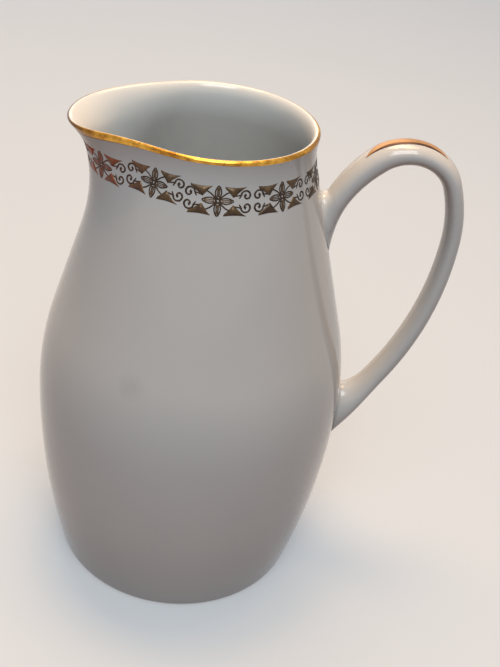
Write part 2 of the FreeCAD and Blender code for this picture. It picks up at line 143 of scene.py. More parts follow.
@dataclass
class MeshMaker:
    """Collects the points and faces of one piece, in millimetres from the vessel's axis."""

    name: str
    points: list[Point] = field(default_factory=list)
    faces: list[tuple[int, ...]] = field(default_factory=list)
    slots: list[int] = field(default_factory=list)

    def ring(self, points: Iterable[Point]) -> list[int]:
        """Add a row of points.

        Args:
            points: the row's points.

        Returns:
            Their numbers.
        """
        first = len(self.points)
        self.points.extend(points)
        return list(range(first, len(self.points)))

    def bridge(self, low: Sequence[int], high: Sequence[int], slot: int = 0) -> None:
        """Fill the strip between two rows of as many points, which run round to their start.

        Args:
            low: the first row's numbers.
            high: the next row's numbers.
            slot: the finish's number on the piece.
        """
        count = len(low)
        for here in range(count):
            there = (here + 1) % count
            self.face((low[here], low[there], high[there], high[here]), slot)

    def fan(self, centre: Point, row: Sequence[int], flip: bool = False, slot: int = 0) -> None:
        """Close a row round a centre point.

        Args:
            centre: the point in the row's middle.
            row: the row's numbers.
            flip: whether the faces are wound the other way.
            slot: the finish's number on the piece.
        """
        hub = self.ring([centre])[0]
        for here, start in enumerate(row):
            end = row[(here + 1) % len(row)]
            self.face((hub, end, start) if flip else (hub, start, end), slot)

    def face(self, corners: tuple[int, ...], slot: int = 0) -> None:
        """Add one face."""
        self.faces.append(corners)
        self.slots.append(slot)

    def make(self, finishes: Sequence[bpy.types.Material]) -> bpy.types.Object:
        """Build the piece and link it to the scene.

        Args:
            finishes: the piece's materials, in the order of their numbers.

        Returns:
            The piece, shaded smooth.
        """
        mesh = bpy.data.meshes.new(self.name)
        points = [((x + AXIS_X) * MM, y * MM, z * MM) for x, y, z in self.points]
        mesh.from_pydata(points, [], self.faces)
        for finish in finishes:
            mesh.materials.append(finish)
        mesh.polygons.foreach_set("material_index", self.slots)
        mesh.polygons.foreach_set("use_smooth", [True] * len(self.faces))
        mesh.validate()
        skin = bmesh.new()
        skin.from_mesh(mesh)
        bmesh.ops.recalc_face_normals(skin, faces=skin.faces)
        skin.to_mesh(mesh)
        skin.free()
        mesh.update()
        piece = bpy.data.objects.new(self.name, mesh)
        bpy.context.scene.collection.objects.link(piece)
        return piece


# Finishes.


@dataclass(frozen=True)
class NodeDesk:
    """Short ways to lay out the nodes of one material, or of the room's light."""

    material: bpy.types.Material | bpy.types.World

    @classmethod
    def blank(cls, name: str) -> "NodeDesk":
        """Start a material with an empty node tree.

        Args:
            name: the material's name.

        Returns:
            The desk that it is laid out on.
        """
        material = bpy.data.materials.new(name)
        material.use_nodes = True
        material.node_tree.nodes.clear()
        return cls(material)

    def add(self, kind: str, **values: object) -> bpy.types.Node:
        """Add a node.

        Args:
            kind: the node's type.
            values: node properties, or socket values where the name has a capital; _ is a space.

        Returns:
            The node.
        """
        node = self.material.node_tree.nodes.new(kind)
        for name, value in values.items():
            if name[0].isupper():
                node.inputs[name.replace("_", " ")].default_value = value
            else:
                setattr(node, name, value)
        return node

    def link(self, source: bpy.types.NodeSocket, target: bpy.types.NodeSocket) -> None:
        """Join two sockets."""
        self.material.node_tree.links.new(source, target)

    def blend(self, share: bpy.types.NodeSocket, low: object, high: object) -> bpy.types.NodeSocket:
        """Mix two colours.

        Args:
            share: the share of the second colour.
            low: the first colour, a socket or a value.
            high: the second colour, a socket or a value.

        Returns:
            The colour socket.
        """
        node = self.add("ShaderNodeMix", data_type="RGBA")
        self.link(share, node.inputs["Factor"])
        for socket, colour in ((node.inputs[6], low), (node.inputs[7], high)):
            if isinstance(colour, bpy.types.NodeSocket):
                self.link(colour, socket)
            else:
                socket.default_value = colour
        return node.outputs[2]

    def maths(self, operation: str, *values: object, clamped: bool = False) -> bpy.types.NodeSocket:
        """Do a sum.

        Args:
            operation: the sum's name.
            values: sockets or numbers that it takes.
            clamped: whether the result is held between 0 and 1.

        Returns:
            The result's socket.
        """
        node = self.add("ShaderNodeMath", operation=operation, use_clamp=clamped)
        for socket, value in zip(node.inputs, values):
            if isinstance(value, bpy.types.NodeSocket):
                self.link(value, socket)
            else:
                socket.default_value = value
        return node.outputs[0]

    def noise(
        self, place: bpy.types.NodeSocket, scale: float, detail: float, roughness: float = 0.5
    ) -> bpy.types.NodeSocket:
        """Cloudy noise over the piece.

        Args:
            place: the place that it is worked out at.
            scale: how fine it is, in clouds to the metre.
            detail: its octaves.
            roughness: how strong the fine ones are.

        Returns:
            The noise's socket, from 0 to 1.
        """
        node = self.add("ShaderNodeTexNoise", Scale=scale, Detail=detail, Roughness=roughness)
        self.link(place, node.inputs["Vector"])
        return node.outputs["Fac"]

    def seen(self) -> bpy.types.NodeSocket:
        """Tell rays that look on directly, in gloss or through glass from the rest.

        Returns:
            The socket of a share that is 1 for them and 0 for the others.
        """
        path = self.add("ShaderNodeLightPath").outputs
        share = self.maths("MAXIMUM", path["Is Camera Ray"], path["Is Glossy Ray"])
        return self.maths("MAXIMUM", share, path["Is Transmission Ray"])

    def finish(self, shader: bpy.types.Node) -> bpy.types.Material:
        """Send the shader to the output.

        Args:
            shader: the last node.

        Returns:
            The finished material.
        """
        output = self.add("ShaderNodeOutputMaterial")
        self.link(shader.outputs[0], output.inputs["Surface"])
        return self.material


@dataclass(frozen=True)
class Glaze:
    """Clear gloss over greyish porcelain, with faint clouding and a smudge of grime."""

    name: str = "glaze"
    body: Colour = linear(188, 187, 184)
    cloud: Colour = linear(181, 180, 179)
    cloud_scale: float = 26.0
    smudge: Colour = linear(140, 138, 136)
    smudge_place: Point = (-20.0, -48.5, 102.0)
    smudge_size: float = 6.0
    smudge_edge: float = 1.25
    smudge_ragged: float = 0.6
    smudge_share: float = 0.3
    ripple_scale: float = 60.0
    roughness: float = 0.1
    bend: float = 1.46

    def material(self) -> bpy.types.Material:
        """The glaze as a material.

        Returns:
            The material.
        """
        desk = NodeDesk.blank(self.name)
        place = desk.add("ShaderNodeTexCoord").outputs["Object"]
        tone = desk.blend(desk.noise(place, self.cloud_scale, 3.0), self.body, self.cloud)
        away = desk.add("ShaderNodeVectorMath", operation="DISTANCE")
        desk.link(place, away.inputs[0])
        x, y, z = self.smudge_place
        away.inputs[1].default_value = ((x + AXIS_X) * MM, y * MM, z * MM)
        near = desk.maths("DIVIDE", away.outputs["Value"], self.smudge_size * MM)
        ragged = desk.maths("MULTIPLY_ADD", desk.noise(place, 300.0, 2.0), self.smudge_ragged, near)
        share = desk.maths("SUBTRACT", self.smudge_edge, ragged, clamped=True)
        faint = desk.maths("MULTIPLY", share, self.smudge_share)
        colour = desk.blend(faint, tone, self.smudge)
        bump = desk.add("ShaderNodeBump", Strength=0.05, Distance=0.0004)
        desk.link(desk.noise(place, self.ripple_scale, 1.0), bump.inputs["Height"])
        shader = desk.add("ShaderNodeBsdfPrincipled", Roughness=self.roughness, IOR=self.bend)
        desk.link(colour, shader.inputs["Base Color"])
        desk.link(bump.outputs["Normal"], shader.inputs["Normal"])
        return desk.finish(shader)


@dataclass(frozen=True)
class Gilding:
    """Burnished gold, worn a little thin in places."""

    name: str
    bright: Colour
    worn: Colour
    # Painted reflection: the colour that the gold shifts to towards the spout, with its share and its span
    # in X.
    painted_reflection: Colour = linear(96, 54, 20)
    painted_reflection_share: float = 0.0
    roughness: float = 0.25
    metallic: float = 1.0
    painted_reflection_span: Flat = (-14.0, -46.0)
    wear_scale: float = 420.0
    drift_scale: float = 45.0
    wear_gain: float = 5.0
    wear_shift: float = -0.7
    rough_swing: float = 0.2

    def material(self) -> bpy.types.Material:
        """The gilding as a material.

        Returns:
            The material, its colour shifted towards the painted reflection colour near the spout: a painted
            reflection of the surroundings in the gold.
        """
        desk = NodeDesk.blank(self.name)
        place = desk.add("ShaderNodeTexCoord").outputs["Object"]
        wear = desk.noise(place, self.wear_scale, 4.0, 0.6)
        both = desk.maths("MULTIPLY", wear, desk.noise(place, self.drift_scale, 1.0))
        share = desk.maths("MULTIPLY_ADD", both, self.wear_gain, self.wear_shift, clamped=True)
        colour = desk.blend(share, self.worn, self.bright)
        # Painted reflection: by the object's X, the colour shifts to the painted reflection colour towards
        # the spout.
        parts = desk.add("ShaderNodeSeparateXYZ")
        desk.link(place, parts.inputs[0])
        reach = desk.add("ShaderNodeMapRange", interpolation_type="SMOOTHSTEP")
        desk.link(parts.outputs["X"], reach.inputs["Value"])
        start, end = ((x + AXIS_X) * MM for x in self.painted_reflection_span)
        bounds = (start, end, 0.0, self.painted_reflection_share)
        for socket, value in zip(("From Min", "From Max", "To Min", "To Max"), bounds):
            reach.inputs[socket].default_value = value
        colour = desk.blend(reach.outputs["Result"], colour, self.painted_reflection)
        rough = desk.maths("MULTIPLY_ADD", wear, self.rough_swing, self.roughness - self.rough_swing / 2)
        bump = desk.add("ShaderNodeBump", Strength=0.12, Distance=0.0002)
        desk.link(wear, bump.inputs["Height"])
        shader = desk.add("ShaderNodeBsdfPrincipled", Metallic=self.metallic)
        desk.link(colour, shader.inputs["Base Color"])
        desk.link(rough, shader.inputs["Roughness"])
        desk.link(bump.outputs["Normal"], shader.inputs["Normal"])
        return desk.finish(shader)


@dataclass(frozen=True)
class FloorPaint:
    """Matt pale floor that keeps the jug's shadow and throws back only a little warm light."""

    colour: Colour = linear(156, 162, 169)
    grain_scale: float = 9.0
    grain_shade: float = 0.96
    glow: Colour = linear(226, 225, 224)
    glow_strength: float = 0.36
    bounce: Colour = linear(96, 60, 40)

    def material(self) -> bpy.types.Material:
        """The floor's paint as a material.

        Returns:
            The material.
        """
        desk = NodeDesk.blank("floor_paint")
        place = desk.add("ShaderNodeTexCoord").outputs["Object"]
        shade = (*(part * self.grain_shade for part in self.colour[:3]), 1.0)
        colour = desk.blend(desk.noise(place, self.grain_scale, 2.0), self.colour, shade)
        seen = desk.seen()
        shader = desk.add("ShaderNodeBsdfPrincipled", Roughness=0.9)
        desk.link(desk.blend(seen, self.bounce, colour), shader.inputs["Base Color"])
        shader.inputs["Emission Color"].default_value = self.glow
        desk.link(desk.maths("MULTIPLY", seen, self.glow_strength), shader.inputs["Emission Strength"])
        return desk.finish(shader)


# The jug's own forms, in millimetres from the vessel's axis.


@dataclass(frozen=True)
class Vessel:
    """The hollow body, from the foot ring to the spouted lip."""

    height: float = 175.0
    foot_radius: float = 45.6
    belly_radius: float = 55.0
    belly_height: float = 72.5
    belly_curve: float = 110.0
    shoulder_angle: float = math.radians(16.0)
    lip_flare: float = 3.1
    lip_flare_height: float = 12.7
    lip_rounding: float = 1.2
    gilt_outside: float = 0.2
    gilt_spout: float = 1.8
    inner_rounding: float = 8.0
    inner_ease: float = 1.6
    lip_roll: float = 1.0
    roll_height: float = 9.0
    roll_width: float = 0.8
    crest_place: float = 0.42
    shoulder_run: float = 27.2
    spout_reach: float = 16.5
    spout_power: float = 2.4
    spout_nose: float = 19.0
    dip_start: float = 20.0
    dip_curve: float = 135.0
    wall: float = 2.8
    floor: float = 5.0
    cavity_rounding: float = 14.0
    foot_ring_width: float = 4.0
    foot_recess: float = 1.6
    foot_rounding: float = 2.4
    columns: int = 256
    side_rows: int = 60
    neck_rows: int = 44
    gilt_rows: int = 6
    lip_rows: int = 16
    hollow_rows: int = 40
    cavity_rows: int = 10

    @property
    def lower_curve(self) -> float:
        """Radius of the arc from the foot to the belly."""
        draw = self.belly_radius - self.foot_radius
        return (self.belly_height**2 + draw**2) / (2 * draw)

    @property
    def shoulder_top(self) -> Flat:
        """Where the belly's arc turns into the straight shoulder.

        Returns:
            The height and the radius.
        """
        rise = self.belly_curve * math.sin(self.shoulder_angle)
        draw = self.belly_curve * (1 - math.cos(self.shoulder_angle))
        return self.belly_height + rise, self.belly_radius - draw

    @property
    def spout_height(self) -> float:
        """Height of the spouted neck, from the straight shoulder's end to the lip."""
        return self.height - self.shoulder_top[0] - self.shoulder_run

    def shoulder_radius(self, height: float) -> float:
        """Outer radius of the straight shoulder, or of its continuation."""
        top, radius = self.shoulder_top
        return radius - math.tan(self.shoulder_angle) * (height - top)

    def round_radius(self, height: float) -> float:
        """Outer radius away from the spout.

        Args:
            height: height above the foot.

        Returns:
            The radius, with the lip's flare.
        """
        rise = height - self.belly_height
        if rise < 0:
            centre = self.belly_radius - self.lower_curve
            return centre + math.sqrt(self.lower_curve**2 - rise**2)
        if height < self.shoulder_top[0]:
            return self.belly_radius - self.belly_curve + math.sqrt(self.belly_curve**2 - rise**2)
        climb = max(0.0, height - self.height + self.lip_flare_height) / self.lip_flare_height
        return self.shoulder_radius(height) + self.lip_flare * climb**2

    def roll(self, height: float, side: float) -> float:
        """How far the spout's edge rolls outwards, at its tip most.

        Args:
            height: height above the foot.
            side: angle from the spout, in radians.

        Returns:
            The distance outwards.
        """
        climb = clamp((height - self.lip_height_plain(side) + self.roll_height) / self.roll_height)
        away = math.remainder(side, math.tau)
        return self.lip_roll * climb**2 * math.exp(-(away**2) / self.roll_width)

    def lip_height_plain(self, side: float) -> float:
        """Height of the crest worked out from the unrolled spout."""
        tip = (self.round_radius(self.height) + self.spout_reach) * math.cos(side) - self.dip_start
        return self.height - self.dip_curve + math.sqrt(self.dip_curve**2 - max(0.0, tip) ** 2)

    def sharp_radius(self, height: float, side: float, inset: float) -> float:
        """Polar radius of the spouted section, nose circle, tangent flanks and round.

        Args:
            height: height above the foot.
            side: angle from the spout, in radians.
            inset: how far inside the outer skin.

        Returns:
            The distance from the axis.
        """
        round_part = self.round_radius(height)
        climb = (height - self.height + self.spout_height) / self.spout_height
        if climb <= 0:
            return round_part - inset
        reach = round_part + self.spout_reach * climb**self.spout_power
        nose = mix(round_part, self.spout_nose, clamp(climb))
        offset = reach - nose
        turn = math.acos(clamp((round_part - nose) / offset, -1.0, 1.0)) if offset > 1e-6 else 0.0
        big, small = round_part - inset, nose - inset
        angle = abs(math.remainder(side, math.tau))
        if angle >= turn:
            return big
        if angle < math.atan2(small * math.sin(turn), offset + small * math.cos(turn)):
            across = offset * math.sin(angle)
            return offset * math.cos(angle) + math.sqrt(max(0.0, small**2 - across**2))
        return big / math.cos(angle - turn)

    def radius(self, height: float, side: float, skin: Skin = Skin.OUTER) -> float:
        """Polar radius with the flanks' joins eased, as thrown clay has them.

        Args:
            height: height above the foot.
            side: angle from the spout, in radians.
            skin: which skin of the wall.

        Returns:
            The distance from the axis.
        """
        inset = self.wall if skin is Skin.INNER else 0.0
        if height <= self.height - self.spout_height:
            return self.round_radius(height) - inset
        eased = sum(
            share * self.sharp_radius(height, side + math.radians(turn), inset) for turn, share in FLANK_EASE
        )
        return eased + self.roll(height, side)

    def lip_height(self, side: float) -> float:
        """Height of the lip's crest, which dips towards the spout.

        Args:
            side: angle from the spout, in radians.

        Returns:
            The crest's height.
        """
        height = self.height
        for _ in range(4):
            ahead = self.radius(height, side) * math.cos(side) - self.dip_start
            dip = self.dip_curve - math.sqrt(self.dip_curve**2 - max(0.0, ahead) ** 2)
            height = self.height - dip
        return height

    def place(self, radius: float, side: float, height: float) -> Point:
        """Point at a polar place; the spout is towards -X and side turns from it towards -Y."""
        return (-radius * math.cos(side), -radius * math.sin(side), height)

    def outer_point(self, side: float, height: float, proud: float = 0.0) -> Point:
        """Point on the outer skin, or a little proud of it.

        Args:
            side: angle from the spout, in radians.
            height: height above the foot.
            proud: distance off the skin, along its normal.

        Returns:
            The point.
        """
        base = Vector(self.place(self.radius(height, side), side, height))
        if not proud:
            return tuple(base)
        return tuple(base + self.normal(side, height) * proud)

    def normal(self, side: float, height: float) -> Vector:
        """Outward normal of the outer skin.

        Args:
            side: angle from the spout, in radians.
            height: height above the foot.

        Returns:
            The normal, of length one.
        """
        step, turn = 0.2, math.radians(0.5)
        low, high = (Vector(self.outer_point(side, height + move)) for move in (-step, step))
        left, right = (Vector(self.outer_point(side + move, height)) for move in (-turn, turn))
        return (right - left).cross(high - low).normalized()

    def under_rows(self) -> list[tuple[float, float]]:
        """Rows of the underside.

        Returns:
            Radius and height of each row from the recess's middle to the foot's side.
        """
        ring = self.foot_radius - self.foot_ring_width
        slope = self.foot_recess
        rows = [(share * (ring - slope), self.foot_recess) for share in (0.25, 0.5, 0.75, 0.93, 0.99)]
        for step in range(5):
            share = step / 4
            rows.append((ring - slope + slope * share, self.foot_recess * (1 - smooth(share))))
        flat = self.foot_radius - self.foot_rounding
        rows += [(mix(ring, flat, share), 0.0) for share in (0.3, 0.65, 0.97)]
        return rows

    def heel_rows(self) -> list[tuple[float, float]]:
        """Rows of the rounded heel.

        Returns:
            Radius and height of each row from the ground to the lower side.
        """
        rows = []
        for step in range(1, 9):
            turn = math.pi / 2 * step / 8
            high = self.foot_rounding * (1 - math.cos(turn))
            draw = self.foot_rounding * (1 - math.sin(turn))
            rows.append((self.round_radius(high) - draw, high))
        return rows

    def make(self, finishes: Sequence[bpy.types.Material]) -> bpy.types.Object:
        """Build the vessel as one closed skin.

        Args:
            finishes: glaze, gilding, the glaze inside, brightened as painted light, and the gilding's burnt
                edge.

        Returns:
            The piece.
        """
        maker = MeshMaker("jug_vessel")
        inside = VesselCoat.INSIDE
        sides = [math.tau * column / self.columns for column in range(self.columns)]
        crests = [self.lip_height(side) for side in sides]
        rings: list[tuple[list[int], int]] = []

        def even(radius: float, height: float, slot: int = VesselCoat.GLAZE) -> None:
            """Add a level, round row."""
            rings.append((maker.ring(self.place(radius, side, height) for side in sides), slot))

        for radius, height in self.under_rows() + self.heel_rows():
            even(radius, height)
        base = self.height - self.spout_height
        for step in range(1, self.side_rows):
            height = mix(self.foot_rounding, base, step / self.side_rows)
            even(self.round_radius(height), height)
        tops = [crest - self.lip_rounding for crest in crests]
        for share, slot in self.neck_shares():
            shares = [self.gilt_share(share, side) for side in sides]
            heights = [self.neck_height(base, top, here) for top, here in zip(tops, shares)]
            row = [self.place(self.radius(h, s), s, h) for s, h in zip(sides, heights)]
            rings.append((maker.ring(row), slot))
        for turn, slot in self.lip_turns():
            row = [self.lip_point(side, crest, turn) for side, crest in zip(sides, crests)]
            rings.append((maker.ring(row), slot))
        tops = [crest - self.inner_rounding for crest in crests]
        for share, _ in reversed(self.neck_shares()):
            heights = [self.neck_height(base, top, share) for top in tops]
            row = [self.place(self.radius(h, s, Skin.INNER), s, h) for s, h in zip(sides, heights)]
            rings.append((maker.ring(row), inside))
        bottom = self.floor + self.cavity_rounding
        for step in range(1, self.hollow_rows):
            height = mix(base, bottom, step / self.hollow_rows)
            even(self.round_radius(height) - self.wall, height, inside)
        for step in range(self.cavity_rows + 1):
            turn = math.pi / 2 * step / self.cavity_rows
            height = bottom - self.cavity_rounding * math.sin(turn)
            draw = self.cavity_rounding * (1 - math.cos(turn))
            even(self.round_radius(height) - self.wall - draw, height, inside)
        hollow = self.round_radius(self.floor) - self.wall - self.cavity_rounding
        for share in (0.8, 0.55, 0.3, 0.12):
            even(hollow * share, self.floor, inside)

        for (low, _), (high, slot) in zip(rings, rings[1:]):
            maker.bridge(low, high, slot)
        maker.fan((0.0, 0.0, self.foot_recess), rings[0][0], flip=True)
        maker.fan((0.0, 0.0, self.floor), rings[-1][0], slot=inside)
        return maker.make(finishes)

    def neck_shares(self) -> list[tuple[float, int]]:
        """Rows of the neck away from the spout.

        Returns:
            Each row's share of the neck's height, with its finish's number.
        """
        gilt = self.gilt_outside / (self.spout_height - self.lip_rounding)
        count = self.neck_rows
        rows = [(step / count * (1 - gilt), VesselCoat.GLAZE) for step in range(count + 1)]
        for step in range(1, self.gilt_rows + 1):
            coat = VesselCoat.BURNT if step == 1 else VesselCoat.GOLD
            rows.append((1 - gilt * (1 - step / self.gilt_rows), coat))
        return rows

    def gilt_share(self, share: float, side: float) -> float:
        """Share of a neck row, with the gilding brought further down under the spout's nose.

        Args:
            share: the row's share away from the spout.
            side: angle from the spout, in radians.

        Returns:
            The row's share on that side.
        """
        run = self.spout_height - self.lip_rounding
        plain = self.gilt_outside / run
        here = plain + self.gilt_spout / run * clamp(math.cos(side)) ** 4
        if share > 1 - plain:
            return 1 - (1 - share) * here / plain
        return share * (1 - here) / (1 - plain)

    def neck_height(self, base: float, top: float, share: float) -> float:
        """Height of a neck row; the rows follow the lip's dip more the higher they stand.

        Args:
            base: height of the neck's foot.
            top: height of the highest row on this side.
            share: the row's share of the neck.

        Returns:
            The row's height.
        """
        level = mix(base, self.height - self.lip_rounding, share)
        drop = (self.height - self.lip_rounding - top) * smooth((share - 0.35) / 0.65)
        return level - drop

    def lip_turns(self) -> list[tuple[float, int]]:
        """Rows over the lip.

        Returns:
            Each row's turn, from outside to inside, with its finish's number.
        """
        rows = []
        for step in range(1, self.lip_rows):
            coat = VesselCoat.GOLD if step <= self.lip_rows // 2 else VesselCoat.INSIDE
            rows.append((math.pi * step / self.lip_rows, coat))
        return rows

    def lip_point(self, side: float, crest: float, turn: float) -> Point:
        """Point on the rounded lip.

        Args:
            side: angle from the spout, in radians.
            crest: the crest's height.
            turn: angle over the lip, 0 outside and pi inside.

        Returns:
            The point.
        """
        top = mix(self.radius(crest, side), self.radius(crest, side, Skin.INNER), self.crest_place)
        if turn < math.pi / 2:
            skin, drop, ease = Skin.OUTER, self.lip_rounding, 1.0
        else:
            skin, drop, ease = Skin.INNER, self.inner_rounding, self.inner_ease
        height = crest - drop * (1 - math.sin(turn))
        lean = (top - self.radius(crest, side, skin)) * (1 - abs(math.cos(turn))) ** ease
        return self.place(self.radius(height, side, skin) + lean, side, height)


@dataclass(frozen=True)
class Station:
    """One place on the handle's centre line."""

    centre: Vector
    turn: float
    depth: float
    width: float

    @property
    def outward(self) -> Vector:
        """Direction across the loop, away from its inside."""
        return Vector((math.cos(self.turn), 0.0, math.sin(self.turn)))

    @property
    def along(self) -> Vector:
        """Direction of the centre line, from the upper root to the lower."""
        return Vector((math.sin(self.turn), 0.0, -math.cos(self.turn)))


@dataclass(frozen=True)
class Root:
    """The print that one end of the handle leaves on the wall.

    The ends of the skin's lines lie along the wall by the spread, which has its own share on the loop's
    inside, and run square into the wall there by the other share.
    """

    height: float
    turn: float
    length: float
    width: float
    spread: float
    inner_spread: float
    square: float
    seat: float = 0.04

    def point(self, vessel: Vessel, around: float) -> Vector:
        """Point of the print's edge, just under the vessel's skin.

        Args:
            vessel: the vessel that it stands on.
            around: angle round the handle's section, 0 on the loop's outside.

        Returns:
            The point.
        """
        run = math.cos(around) * self.length / 2
        height = self.height + math.sin(self.turn) * run
        across = math.sin(around) * self.width / 2
        radius = vessel.round_radius(height)
        side = math.pi - math.asin(across / radius)
        x, y, z = vessel.outer_point(side, height, -self.seat)
        return Vector((x, math.copysign(abs(y), across), z))


@dataclass(frozen=True)
class Handle:
    """The looped handle, on a centre line of four tangent arcs."""

    vessel: Vessel
    standoff: float = 27.95
    drop: float = 35.2
    back_curve: float = 54.5
    back_angle: float = math.radians(22.0)
    arch_angle: float = math.radians(131.0)
    root_curve: float = 42.5
    root_angle: float = math.radians(24.0)
    root_gap: float = 5.8
    upper_depth: float = 8.0
    arch_depth: float = 8.8
    grip_depth: float = 6.2
    lower_depth: float = 7.4
    grip_width: float = 11.0
    upper_root_fall: float = 9.4
    upper_root_length: float = 22.6
    upper_root_width: float = 14.0
    lower_root_drop: float = 7.9
    lower_root_length: float = 23.4
    lower_root_width: float = 14.5
    upper_spread: float = 0.75
    upper_inner_spread: float = 0.35
    lower_spread: float = 0.0
    lower_share: float = 0.7
    ring_points: int = 64
    bar_rows: int = 170
    root_rows: int = 14

    @property
    def grip(self) -> Flat:
        """The furthest point of the centre line."""
        return self.vessel.belly_radius + self.standoff, self.vessel.height - self.drop

    @property
    def arch_curve(self) -> float:
        """Radius of the arch.

        Returns:
            The radius that sets the upper end its gap away from the shoulder's line.
        """
        grip_x, grip_z = self.grip
        end = self.arch_angle + self.root_angle
        flat_x = grip_x - self.back_curve * (1 - math.cos(self.back_angle))
        flat_x += self.root_curve * (math.cos(end) - math.cos(self.arch_angle))
        flat_z = grip_z + self.back_curve * math.sin(self.back_angle)
        flat_z += self.root_curve * (math.sin(end) - math.sin(self.arch_angle))
        rise = math.sin(self.arch_angle) - math.sin(self.back_angle)
        lean = math.cos(self.back_angle) - math.cos(self.arch_angle)
        lean -= math.tan(self.vessel.shoulder_angle) * rise
        return (flat_x - self.vessel.shoulder_radius(flat_z) - self.root_gap) / lean

    @property
    def lower_arc(self) -> Flat:
        """The long arc down to the lower root.

        Returns:
            Its radius and its angle.
        """
        low = self.vessel.belly_height - self.lower_root_drop
        fall = self.grip[1] - low
        run = self.grip[0] - self.vessel.round_radius(low)
        radius = (run**2 + fall**2) / (2 * run)
        return radius, math.asin(fall / radius)

    def roots(self) -> tuple[Root, Root]:
        """The handle's two roots.

        Returns:
            The upper and the lower root.
        """
        upper = Root(
            height=self.station(0.0).centre.z - self.upper_root_fall,
            turn=math.pi / 2 + self.vessel.shoulder_angle,
            length=self.upper_root_length,
            width=self.upper_root_width,
            spread=self.upper_spread,
            inner_spread=self.upper_inner_spread,
            square=0.0,
        )
        lower = Root(
            height=self.vessel.belly_height - self.lower_root_drop,
            turn=-math.pi / 2,
            length=self.lower_root_length,
            width=self.lower_root_width,
            spread=self.lower_spread,
            inner_spread=self.lower_spread,
            square=1.0,
        )
        return upper, lower

    def spans(self) -> list[tuple[float, Callable[[float], Station]]]:
        """The arcs of the centre line.

        Returns:
            Each arc's length and what gives the station at a share of it, from the upper end down.
        """
        grip_x, grip_z = self.grip
        back_x = grip_x - self.back_curve
        curve = self.arch_curve

        def on(x: float, z: float, radius: float, turn: float) -> Flat:
            """Point of an arc."""
            return x + radius * math.cos(turn), z + radius * math.sin(turn)

        arch = on(back_x, grip_z, self.back_curve - curve, self.back_angle)
        root = on(*arch, curve - self.root_curve, self.arch_angle)
        low_radius, low_angle = self.lower_arc

        def bar(place: Flat, turn: float, depth: float) -> Station:
            """Station at a point of the centre line."""
            return Station(Vector((place[0], 0.0, place[1])), turn, depth, self.grip_width)

        def root_at(share: float) -> Station:
            """Station on the arc out of the upper root."""
            turn = self.arch_angle + self.root_angle * (1 - share)
            depth = mix(self.upper_depth, self.arch_depth, share)
            return bar(on(*root, self.root_curve, turn), turn, depth)

        def arch_at(share: float) -> Station:
            """Station on the arch."""
            turn = mix(self.arch_angle, self.back_angle, share)
            return bar(on(*arch, curve, turn), turn, mix(self.arch_depth, self.grip_depth, share))

        def back_at(share: float) -> Station:
            """Station on the arc down to the grip."""
            turn = self.back_angle * (1 - share)
            return bar(on(back_x, grip_z, self.back_curve, turn), turn, self.grip_depth)

        def low_at(share: float) -> Station:
            """Station on the arc below the grip, which stops short of the wall."""
            share *= self.lower_share
            turn = -low_angle * share
            place = on(grip_x - low_radius, grip_z, low_radius, turn)
            return bar(place, turn, mix(self.grip_depth, self.lower_depth, share))

        return [
            (self.root_curve * self.root_angle, root_at),
            (curve * (self.arch_angle - self.back_angle), arch_at),
            (self.back_curve * self.back_angle, back_at),
            (low_radius * low_angle * self.lower_share, low_at),
        ]

    @property
    def length(self) -> float:
        """Length of the centre line between its roots."""
        return sum(length for length, _ in self.spans())

    def station(self, run: float) -> Station:
        """Station at a length along the centre line.

        Args:
            run: length from the upper end, held to the line's own length.

        Returns:
            The station.
        """
        spans = self.spans()
        run = max(0.0, run)
        for length, at in spans:
            if run <= length:
                return at(run / length)
            run -= length
        return spans[-1][1](1.0)

    def skin(self, station: Station, around: float, proud: float = 0.0) -> Vector:
        """Point on the handle's skin.

        Args:
            station: a place along the centre line.
            around: angle round the section, 0 on the loop's outside.
            proud: distance off the skin.

        Returns:
            The point.
        """
        out = station.outward * (math.cos(around) * (station.depth / 2 + proud))
        return station.centre + out + Vector((0.0, math.sin(around) * (station.width / 2 + proud), 0.0))

    def root_column(self, around: float, station: Station, root: Root, way: Vector) -> list[Vector]:
        """Line from the handle's end that swells and lies down on the vessel.

        Args:
            around: angle round the section.
            station: the handle's end.
            root: the print on the wall.
            way: direction in which the handle runs into the wall.

        Returns:
            The points after the first, down to the vessel.
        """
        start = self.skin(station, around)
        landed = root.point(self.vessel, around)
        normal = self.vessel.normal(math.pi, root.height)
        outward = Vector((math.cos(root.turn), 0.0, math.sin(root.turn)))
        over = outward * math.cos(around) + Vector((0.0, math.sin(around), 0.0))
        over = (over - normal * over.dot(normal)).normalized()
        straight = (landed - start).normalized()
        inside = (1 - math.cos(around)) / 2
        square = root.square * inside
        spread = mix(root.spread, root.inner_spread, inside)
        arrive = (straight * (1 - square) - normal * square).normalized()
        arrive = (over * spread + arrive * (1 - spread)).normalized()
        pull = (landed - start).length
        points = []
        for step in range(1, self.root_rows + 1):
            t = step / self.root_rows
            a, b = 2 * t**3 - 3 * t**2 + 1, t**3 - 2 * t**2 + t
            c, d = -2 * t**3 + 3 * t**2, t**3 - t**2
            points.append(start * a + way * (pull * b) + landed * c + arrive * (pull * d))
        return points

